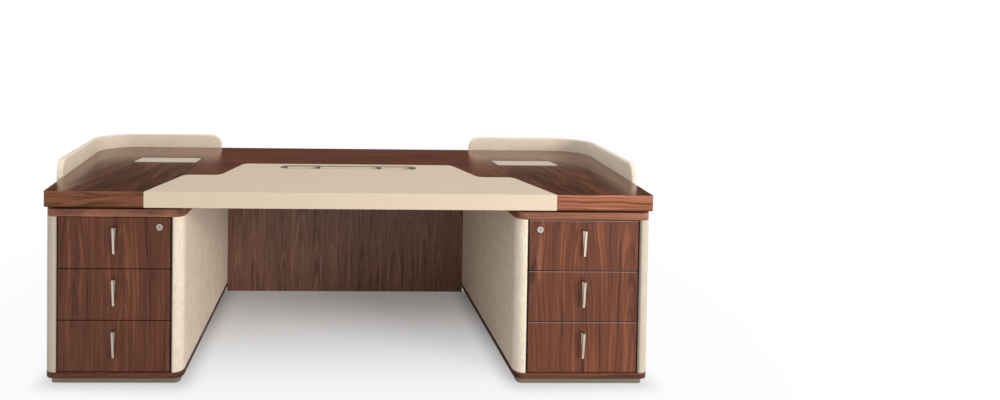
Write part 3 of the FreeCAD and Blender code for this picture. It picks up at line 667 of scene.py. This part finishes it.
def between(start, end, share):
    return start + (end - start) * share


def pad_middle_panels():
    """The two halves of the middle panel, each with half of the pen tray's opening."""
    half_x, half_y = TRAY_HALF
    near_y, far_y = TRAY_Y - half_y, TRAY_Y + half_y
    hole = rounded_outline([(-half_x, near_y, TRAY_CORNER), (-half_x, far_y, TRAY_CORNER),
                            (half_x, far_y, TRAY_CORNER), (half_x, near_y, TRAY_CORNER)])
    near, far = Vector((0, near_y)), Vector((0, far_y))
    front, back = Vector((0, PAD_FRONT_Y)), Vector((0, PAD_BACK_Y))
    left = [Vector((-SEAM_FRONT_X, PAD_FRONT_Y)), front, near] + [p for p in hole if p.x < 0]
    left += [far, back, Vector((-SEAM_BACK_X, PAD_BACK_Y))]
    right = [front, Vector((SEAM_FRONT_X, PAD_FRONT_Y)), Vector((SEAM_BACK_X, PAD_BACK_Y))]
    right += [back, far] + [p for p in hole if p.x > 0] + [near]
    return [left, right]


def cover_writing_pad():
    """Three sewn panels let into the top, turned down over its front edge."""
    mesh = bmesh.new()
    add_slab(mesh, pad_middle_panels(), PAD_BOARD, PAD_TOP, soft_low=False)
    lip_depth = PAD_LIP_Y - PAD_FRONT_Y
    seam_lip = between(SEAM_FRONT_X, SEAM_BACK_X, lip_depth / (PAD_BACK_Y - PAD_FRONT_Y))
    outer_lip = between(PAD_HALF, PAD_SHOULDER_X, lip_depth / (PAD_SHOULDER_Y - PAD_FRONT_Y))
    lips = [[(-SEAM_FRONT_X, PAD_FRONT_Y), (SEAM_FRONT_X, PAD_FRONT_Y),
             (seam_lip, PAD_LIP_Y), (-seam_lip, PAD_LIP_Y)]]
    wing_corners = [(PAD_HALF, PAD_FRONT_Y, 0.0), (PAD_SHOULDER_X, PAD_SHOULDER_Y, PAD_CORNER),
                    (PAD_NECK_X, PAD_SHOULDER_Y, PAD_CORNER), (PAD_REAR_X, PAD_BACK_Y, PAD_CORNER),
                    (SEAM_BACK_X, PAD_BACK_Y, 0.0), (SEAM_FRONT_X, PAD_FRONT_Y, 0.0)]
    lip_corners = [(PAD_HALF, PAD_FRONT_Y), (outer_lip, PAD_LIP_Y), (seam_lip, PAD_LIP_Y),
                   (SEAM_FRONT_X, PAD_FRONT_Y)]
    for hand in (-1, 1):
        panel = rounded_outline([(hand * x, y, radius) for x, y, radius in wing_corners])
        lip = [(hand * x, y) for x, y in lip_corners]
        add_slab(mesh, [panel if hand > 0 else panel[::-1]], PAD_BOARD, PAD_TOP, soft_low=False)
        lips.append(lip if hand > 0 else lip[::-1])
    for lip in lips:
        add_slab(mesh, [lip], PAD_UNDER, PAD_BOARD)
    soften_upright_edges(mesh, weight=0.5)
    soften_pad_seams(mesh)
    finish = leather_finish("pad_leather", PAD_CREAM, PAD_SHADE, clouds=0.35, streaks=0.0)
    finish_cover("writing_pad_leather", mesh, [finish], PAD_SOFT_EDGE, "writing_pad", flat=True)


def soften_pad_seams(mesh):
    """Leaves the joint between panels and lips sharp, and makes the long seams half as soft."""
    soft = edge_softness(mesh)
    for edge in mesh.edges:
        heights = [corner.co.z for corner in edge.verts]
        if max(heights) < PAD_BOARD + SAME_PLACE and min(heights) > PAD_BOARD - SAME_PLACE:
            edge[soft] = 0.0
        start, end = (corner.co for corner in edge.verts)
        middle_x = abs((start + end).x / 2)
        on_seam = SEAM_BACK_X - SEAM_SLACK < middle_x < SEAM_FRONT_X + SEAM_SLACK
        if on_seam and edge[soft] == 1.0 and abs(start.y - end.y) > SEAM_SHORTEST:
            edge[soft] = SEAM_SOFTNESS


# Pedestal sides

SIDE_FRONT_Y, SIDE_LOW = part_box("inner_side_right")[0][1:]
SIDE_BACK_Y, SIDE_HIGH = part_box("inner_side_right")[1][1:]
SIDE_SEAM_Y = -0.044
SIDE_CORNER = 0.036
SIDE_SOFT_EDGE = 0.0018


def cover_side(name, finishes, bay_x, face_x, round_back, stands_for):
    """A side in two panels sewn together halfway back, lined with dark veneer towards the drawers,
    partly as painted shade in the gap.
    """
    mesh = bmesh.new()
    front = [(bay_x, SIDE_FRONT_Y, 0.0), (face_x, SIDE_FRONT_Y, SIDE_CORNER),
             (face_x, SIDE_SEAM_Y, 0.0), (bay_x, SIDE_SEAM_Y, 0.0)]
    back = [(bay_x, SIDE_SEAM_Y, 0.0), (face_x, SIDE_SEAM_Y, 0.0),
            (face_x, SIDE_BACK_Y, round_back), (bay_x, SIDE_BACK_Y, 0.0)]
    for corners in (front, back):
        outline = rounded_outline(corners, steps=12)
        add_slab(mesh, [outline if face_x > bay_x else outline[::-1]], SIDE_LOW, SIDE_HIGH)
    soften_upright_edges(mesh, weight=0.8)
    for face in mesh.faces:
        on_bay = all(abs(corner.co.x - bay_x) < SAME_PLACE for corner in face.verts)
        face.material_index = int(on_bay)
    finish_cover(name, mesh, finishes, SIDE_SOFT_EDGE, stands_for)


def cover_pedestals():
    # The bay lining is a veneer darkened to three tenths: partly its own dark tone, partly painted
    # shade for the gap beside the drawers
    lining = wood_finish("bay_lining_and_shade", lighter(PANEL_TONES, share=0.3), gloss=0.5)
    inner = leather_finish("inner_leather", INNER_CREAM, INNER_SHADE, clouds=0.35, streaks=0.6,
                           seam_y=SIDE_SEAM_Y)
    outer = leather_finish("outer_leather", OUTER_CREAM_IN_PAINTED_SHADE, OUTER_DEEP_IN_PAINTED_SHADE, clouds=0.30, streaks=0.4,
                           seam_y=SIDE_SEAM_Y)
    for side in SIDES:
        (near, _, _), (far, _, _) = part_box(f"outer_side_{side}")
        bay, face = (near, far) if hand_of(side) > 0 else (far, near)
        cover_side(f"outer_leather_{side}", [outer, lining], bay, face, SIDE_CORNER,
                   f"outer_side_{side}")
        (near, _, _), (far, _, _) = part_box(f"inner_side_{side}")
        bay, face = (far, near) if hand_of(side) > 0 else (near, far)
        cover_side(f"inner_leather_{side}", [inner, lining], bay, face, 0.0, f"inner_side_{side}")


# Screens

SCREEN_START = Vector((1.2509, -0.316))
SCREEN_CORNER = Vector((1.438, 0.566))
SCREEN_END = Vector((0.746, 0.566))
SCREEN_BEND = 0.165
SCREEN_HALF = 0.0125
SCREEN_EDGE = 0.007
SCREEN_SHOULDER = 0.062
SCREEN_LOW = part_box("screen_right")[0][2]
SCREEN_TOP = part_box("screen_right")[1][2]
SIDE_STEPS, BEND_STEPS, REAR_STEPS = 10, 24, 8
SHOULDER_STEPS, EDGE_STEPS = 10, 5
SEAM_INSET = 0.0105
SEAM_DEPTH = 0.0011
SEAM_GROOVE = ((-0.0018, 0.0), (-0.0009, 0.0), (-0.0004, 0.7), (0.0, 1.0), (0.0004, 0.7),
               (0.0009, 0.0), (0.0018, 0.0), (0.0060, 0.0))


def screen_path():
    """The length of a screen's line, stations along it, and a function for a place beside it."""
    side = (SCREEN_CORNER - SCREEN_START).normalized()
    rear = (SCREEN_END - SCREEN_CORNER).normalized()
    turn = side.angle(rear)
    cut = SCREEN_BEND * math.tan(turn / 2)
    first = (SCREEN_CORNER - SCREEN_START).length - cut
    bend = (SCREEN_BEND + SCREEN_HALF) * turn
    last = (SCREEN_END - SCREEN_CORNER).length - cut
    centre = SCREEN_START + side * first + Vector((-side.y, side.x)) * SCREEN_BEND

    def spot(along, out, level):
        reach = SCREEN_HALF + out
        if along <= first:
            flat = SCREEN_START + side * along + Vector((side.y, -side.x)) * reach
        elif along >= first + bend:
            flat = SCREEN_CORNER + rear * (cut + along - first - bend)
            flat += Vector((rear.y, -rear.x)) * reach
        else:
            angle = math.atan2(-side.x, side.y) + turn * (along - first) / bend
            flat = centre + Vector((math.cos(angle), math.sin(angle))) * (SCREEN_BEND + reach)
        return flat.x, flat.y, level
    stations = [first * step / SIDE_STEPS for step in range(1, SIDE_STEPS)]
    stations += [first + bend * step / BEND_STEPS for step in range(BEND_STEPS + 1)]
    stations += [first + bend + last * step / REAR_STEPS for step in range(1, REAR_STEPS)]
    return first + bend + last, stations, spot


def screen_section():
    """Inset and half thickness, from the rim's middle over its round to the seam and the face."""
    section = []
    for step in range(EDGE_STEPS + 1):
        angle = math.radians(90 * step / EDGE_STEPS)
        section.append((SCREEN_EDGE * (1 - math.cos(angle)),
                        SCREEN_HALF - SCREEN_EDGE + SCREEN_EDGE * math.sin(angle)))
    for shift, depth in SEAM_GROOVE:
        section.append((SEAM_INSET + shift, SCREEN_HALF - SEAM_DEPTH * depth))
    return section


def cover_screen(side, finish):
    """Leather over a curved screen: a sewn panel on each face and a band around the rim."""
    length, stations, spot = screen_path()
    hand = hand_of(side)
    mesh = bmesh.new()

    def corner(along, out, level):
        x, y, z = spot(along, out, level)
        return mesh.verts.new((hand * x, y, z))

    def rim_line(inset):
        bow = SCREEN_SHOULDER - inset
        shoulder = SCREEN_TOP - SCREEN_SHOULDER
        turns = [math.radians(90 * step / SHOULDER_STEPS) for step in range(SHOULDER_STEPS + 1)]
        near = [(SCREEN_SHOULDER - bow * math.cos(turn), shoulder + bow * math.sin(turn))
                for turn in turns]
        middle = [(along, SCREEN_TOP - inset) for along in stations
                  if SCREEN_SHOULDER < along < length - SCREEN_SHOULDER]
        far = [(length - along, level) for along, level in reversed(near)]
        return [(inset, SCREEN_LOW)] + near + middle + far + [(length - inset, SCREEN_LOW)]

    def strip(first, second):
        for at in range(len(first) - 1):
            mesh.faces.new([first[at], first[at + 1], second[at + 1], second[at]])
    outlines = []
    for facing in (-1, 1):
        rings = [[corner(along, facing * half, level) for along, level in rim_line(inset)]
                 for inset, half in screen_section()]
        for ring, inner in zip(rings, rings[1:]):
            strip(ring, inner)
        inset, half = screen_section()[-1]
        foot = [corner(along, facing * half, SCREEN_LOW) for along, _ in rim_line(inset)[2:-2]]
        foot = [rings[-1][0]] + foot + [rings[-1][-1]]
        strip(rings[-1][1:-1], foot)
        under = [ring[0] for ring in rings[:-1]] + foot + [ring[-1] for ring in rings[-2::-1]]
        outlines.append((rings[0], under))
    for first, second in zip(*outlines):
        strip(first, second)
    bmesh.ops.recalc_face_normals(mesh, faces=mesh.faces)
    finish_cover(f"screen_leather_{side}", mesh, [finish], 0.0, f"screen_{side}")


# Drawer handles

# Reach from the drawer, height and radius of each corner of the folded strip, seen from its side
HANDLE_FOLD = [(0.0, 0.030, 0.0004), (0.0, 0.106, 0.0030), (0.025, 0.106, 0.0045),
               (0.014, 0.0, 0.0018), (0.0098, 0.0, 0.0018), (0.0206, 0.1025, 0.0020),
               (0.003, 0.1025, 0.0020), (0.003, 0.030, 0.0004)]
HANDLE_LEAN = 0.104
HANDLE_INSET = 0.0008
HANDLE_SOFT_EDGE = 0.0008
HANDLE_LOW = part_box("drawer_handle_bottom_right")[0][2]
HANDLE_BRIGHT, HANDLE_DEEP = (0.96, 0.86, 0.71), (0.82, 0.72, 0.58)
# Painted shade on the fold and on the plate behind the blade, where the blade would shade them
HANDLE_PAINTED_SHADE = (0.26, 0.21, 0.155, 1)
SHADE_BEHIND_BLADE_BAND = (0.0085, 0.0105, 0.65, 0.0)


def handle_finish():
    """Champagne metal, with painted shade on the fold and the plate behind the leaning blade."""
    made = metal_finish("champagne_handle", HANDLE_BRIGHT, HANDLE_DEEP, gloss=0.12)
    tree = made.node_tree
    face, color = laid_color(made)
    spot = rest_spot(tree)
    height = maths(tree, "MODULO", maths(tree, "SUBTRACT", spot["Z"], HANDLE_LOW), DRAWER_PITCH)
    reach = maths(tree, "SUBTRACT", DRAWER_FACE_Y, spot["Y"])
    from_blade = maths(tree, "SUBTRACT", reach, maths(tree, "MULTIPLY", height, HANDLE_LEAN))
    painted_shade_behind_blade = eased(tree, from_blade, *SHADE_BEHIND_BLADE_BAND)
    tree.links.new(blended(tree, painted_shade_behind_blade, color, HANDLE_PAINTED_SHADE), face.inputs["Base Color"])
    return made


def fold_handle(drawer, finish):
    """A strip folded over at its top: a short plate, and a longer blade leaning out in front."""
    (left, _, low), (right, _, _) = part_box(f"drawer_handle_{drawer}")
    mesh = bmesh.new()
    outline = rounded_outline(HANDLE_FOLD, steps=5)
    add_slab(mesh, [outline], left + HANDLE_INSET, right - HANDLE_INSET)
    for corner in mesh.verts:
        reach, height, x = corner.co
        corner.co = (x, DRAWER_FACE_Y - reach, low + height)
    bmesh.ops.recalc_face_normals(mesh, faces=mesh.faces)
    finish_cover(f"handle_fold_{drawer}", mesh, [finish], HANDLE_SOFT_EDGE,
                 f"drawer_handle_{drawer}", body=f"drawer_{drawer}")


# Dressing the desk: veneer and leather

VENEER_START = {"left": 0.31, "right": 1.27}
# Painted light: each side's drawers and rails are lighter or darker copies of one veneer, for how
# light falls on that side
DRAWER_PAINTED_LIGHT = {"left": 1.02, "right": 1.22}
RAIL_PAINTED_LIGHT = {"left": 1.15, "right": 1.0}
# Share of the painted arris highlight on each side's drawer fronts
ARRIS_HIGHLIGHT_SHARE = {"left": 0.0, "right": 0.3}

dress(top_finish(), "desktop")
cover_writing_pad()
cover_pedestals()
screen_leather = leather_finish("screen_leather", SCREEN_CREAM, SCREEN_SHADE,
                                clouds=0.40, streaks=0.5)
for side in SIDES:
    cover_screen(side, screen_leather)
handle_metal = handle_finish()
for side in SIDES:
    start = VENEER_START[side]
    drawers = drawer_finish(side, start, DRAWER_PAINTED_LIGHT[side], ARRIS_HIGHLIGHT_SHARE[side])
    for level in LEVELS:
        dress(drawers, f"drawer_front_{level}_{side}")
        fold_handle(f"{level}_{side}", handle_metal)
    rails = wood_finish(f"rail_veneer_{side}", lighter(CAP_TONES, RAIL_PAINTED_LIGHT[side]), CROSS_GRAIN,
                        shift=(start, 0.0, start), gloss=0.34)
    dress(rails, f"pedestal_cap_{side}")
dress(wood_finish("plinth_veneer", PLINTH_TONES, CROSS_GRAIN, shift=(0.4, 0.0, 0.6), gloss=0.34),
      *both("plinth"))
dress(wood_finish("panel_veneer", PANEL_TONES, shift=(0.7, 0.0, 0.1), leaf=0.13, gloss=0.36,
                  level=0.45, fineness=1.5, streaks=0.44),
      "modesty_panel", *both("pedestal_back"))
dress(wood_finish("birch_boards", BIRCH_TONES, DEPTH_GRAIN, gloss=0.5),
      "panel_dowels", *every_drawer("drawer_box"))

# Dressing the desk: metal, lining and plastic

LID_TONES = ((0.74, 0.635, 0.50), (0.66, 0.565, 0.435))
TROUGH_TONES = ((0.74, 0.66, 0.53), (0.62, 0.55, 0.435))
LOCK_TONES = ((0.74, 0.68, 0.58), (0.60, 0.54, 0.45))
PLUG_TONES = ((0.62, 0.57, 0.49), (0.46, 0.42, 0.36))
BAND_TONES = ((0.32, 0.275, 0.195), (0.25, 0.215, 0.15))
TRAY_TONES = ((0.44, 0.38, 0.277), (0.335, 0.29, 0.208))
STEEL_TONES = ((0.62, 0.63, 0.64), (0.50, 0.51, 0.52))
LINING_TONES = ((0.016, 0.015, 0.014), (0.009, 0.009, 0.008))
GLIDE_TONES = ((0.02, 0.02, 0.02), (0.012, 0.012, 0.012))

# Painted metal has no metallic share, bronze under lacquer has a part of one
PAINTED, LACQUERED = 0.0, 0.4

dress(metal_finish("champagne_lid", *LID_TONES, gloss=0.40, metallic=PAINTED, turn=CROSS_GRAIN),
      *both("cable_lid"))
dress(metal_finish("olive_trough", *TROUGH_TONES, gloss=0.38, metallic=PAINTED, turn=CROSS_GRAIN),
      "pen_troughs")
dress(metal_finish("lock_nickel", *LOCK_TONES, gloss=0.20), *both("lock_barrel"))
dress(metal_finish("lock_plug_nickel", *PLUG_TONES, gloss=0.26), *both("lock_plug"))
dress(metal_finish("bronze_band", *BAND_TONES, gloss=0.36, metallic=LACQUERED, turn=CROSS_GRAIN),
      *both("base_band"))
dress(metal_finish("bronze_tray", *TRAY_TONES, gloss=0.34, metallic=LACQUERED, turn=CROSS_GRAIN),
      "pen_tray")
dress(metal_finish("zinc_steel", *STEEL_TONES, gloss=0.3, turn=DEPTH_GRAIN),
      "top_bolts", "screen_studs", "lid_hinge_pins", "lock_keepers",
      *both("runner_channels"), *every_drawer("drawer_slides"))
dress(matt_finish("black_lining", *LINING_TONES, gloss=0.6), "top_spacers", *both("cable_sleeve"))
dress(matt_finish("glide_plastic", *GLIDE_TONES, gloss=0.5), "floor_glides")

# Floor, light and camera

FLOOR_HALF = 30.0
FLOOR_GREY = (0.705, 0.72, 0.735, 1)
PEDESTAL_SPOT = (0.9275, 0.0, 0.0)
PEDESTAL_HALF = (0.2525, 0.5510, 0.0)
PEDESTAL_SHADE = (0.0, 0.10, 0.55, 1.0)
KNEE_BACK = (0.0, 0.45, 0.0)
KNEE_HALF = (0.66, 0.0, 0.0)
KNEE_STRETCH = (1.4, 1.0, 0.0)
WHITE_RISE = (0.15, 1.30, 0.15, 0.92)
WHITE_REST = (1.3, 2.4, 0.0, 0.08)
WHITE = (1, 1, 1, 1)

ROOM_BRIGHT_SIDE = Vector((-0.58, 0.52, 0.62)).normalized()
ROOM_LIGHT = (0.2, 1.0, 0.77, 0.98)
ROOM_MIRRORED = (0.32, 0.85, 0.035, 0.60)

LAMP_SPOT = Vector((4.15, -3.7, 1.75))
LAMP_AIM = Vector((0.0, -0.3, 0.45))
LAMP_SIZE = 2.4
LAMP_POWER = 170.0
LAMP_COLOR = (1.0, 0.97, 0.93)

CAMERA_LENS = 19.5431
CAMERA_SHIFT = (0.1547, -0.125)
CAMERA_SPOT = (-0.0742, -2.6941, 1.2605)
CAMERA_TURN = (89.0993, -0.7156, -1.1392)


def beyond_box(tree, spot, centre, half):
    """How far a place on the floor lies outside a box, along each axis."""
    off = vectors(tree, "SUBTRACT", spot, centre).outputs[0]
    off = vectors(tree, "ABSOLUTE", off).outputs[0]
    off = vectors(tree, "SUBTRACT", off, half).outputs[0]
    return vectors(tree, "MAXIMUM", off, (0, 0, 0)).outputs[0]


def floor_finish():
    """A pale floor that the camera sees whiter with distance, less so close to the pedestals."""
    made, tree, face = new_finish("pale_floor")
    spot = shader(tree, "TexCoord").outputs["Object"]
    knee = scaled(tree, beyond_box(tree, spot, KNEE_BACK, KNEE_HALF), KNEE_STRETCH)
    reach = vectors(tree, "LENGTH", knee).outputs["Value"]
    far = maths(tree, "ADD", eased(tree, reach, *WHITE_RISE), eased(tree, reach, *WHITE_REST))
    either = vectors(tree, "ABSOLUTE", spot).outputs[0]
    beside = beyond_box(tree, either, PEDESTAL_SPOT, PEDESTAL_HALF)
    clear = vectors(tree, "LENGTH", beside).outputs["Value"]
    far = maths(tree, "MULTIPLY", far, eased(tree, clear, *PEDESTAL_SHADE))
    face.inputs["Base Color"].default_value = FLOOR_GREY
    face.inputs["Roughness"].default_value = 0.9
    face.inputs["Specular IOR Level"].default_value = 0.0
    seen = shader(tree, "LightPath").outputs["Is Camera Ray"]
    white = shader(tree, "Emission", {"Color": WHITE, "Strength": 1.0}).outputs[0]
    mixed = shader(tree, "MixShader", {0: maths(tree, "MULTIPLY", far, seen),
                                       1: face.outputs[0], 2: white})
    end = next(n for n in tree.nodes if n.bl_idname == "ShaderNodeOutputMaterial")
    tree.links.new(mixed.outputs[0], end.inputs["Surface"])
    return made


def lay_floor():
    mesh = bpy.data.meshes.new("floor")
    corners = [(x * FLOOR_HALF, y * FLOOR_HALF, 0)
               for x, y in ((-1, -1), (1, -1), (1, 1), (-1, 1))]
    mesh.from_pydata(corners, [], [(0, 1, 2, 3)])
    floor = bpy.data.objects.new("floor", mesh)
    mesh.materials.append(floor_finish())
    bpy.context.collection.objects.link(floor)


def light_room():
    """Soft light from all sides, brighter from one; the lacquer mirrors a dimmer room."""
    world = bpy.data.worlds.new("studio")
    bpy.context.scene.world = world
    world.use_nodes = True
    tree = world.node_tree
    tree.nodes.clear()
    facing = shader(tree, "TexCoord").outputs["Generated"]
    toward = vectors(tree, "DOT_PRODUCT", facing, ROOM_BRIGHT_SIDE).outputs["Value"]
    soft = eased(tree, toward, *ROOM_LIGHT)
    upward = shader(tree, "SeparateXYZ", {0: facing}).outputs["Z"]
    mirrored = eased(tree, upward, *ROOM_MIRRORED)
    path = shader(tree, "LightPath").outputs
    level = blended(tree, path["Is Glossy Ray"], soft, mirrored)
    seen = maths(tree, "MAXIMUM", path["Is Camera Ray"], path["Is Transmission Ray"])
    level = blended(tree, seen, level, WHITE)
    sky = shader(tree, "Background", {"Color": level, "Strength": 1.0})
    end = tree.nodes.new("ShaderNodeOutputWorld")
    tree.links.new(sky.outputs[0], end.inputs["Surface"])


def hang_lamp():
    lamp = bpy.data.lights.new("key_softbox", "AREA")
    lamp.shape = "RECTANGLE"
    lamp.size = lamp.size_y = LAMP_SIZE
    lamp.energy = LAMP_POWER
    lamp.color = LAMP_COLOR
    hung = bpy.data.objects.new("key_softbox", lamp)
    hung.location = LAMP_SPOT
    hung.rotation_euler = (LAMP_AIM - LAMP_SPOT).to_track_quat("-Z", "Y").to_euler()
    hung.visible_camera = False
    hung.visible_glossy = False
    bpy.context.collection.objects.link(hung)


def set_camera():
    camera = bpy.data.cameras.new("camera")
    camera.sensor_fit = "HORIZONTAL"
    camera.sensor_width = 36.0
    camera.lens = CAMERA_LENS
    camera.shift_x, camera.shift_y = CAMERA_SHIFT
    held = bpy.data.objects.new("camera", camera)
    held.location = CAMERA_SPOT
    held.rotation_euler = tuple(math.radians(angle) for angle in CAMERA_TURN)
    bpy.context.collection.objects.link(held)
    bpy.context.scene.camera = held


lay_floor()
light_room()
hang_lamp()
set_camera()

bpy.context.scene.view_settings.view_transform = "Standard"
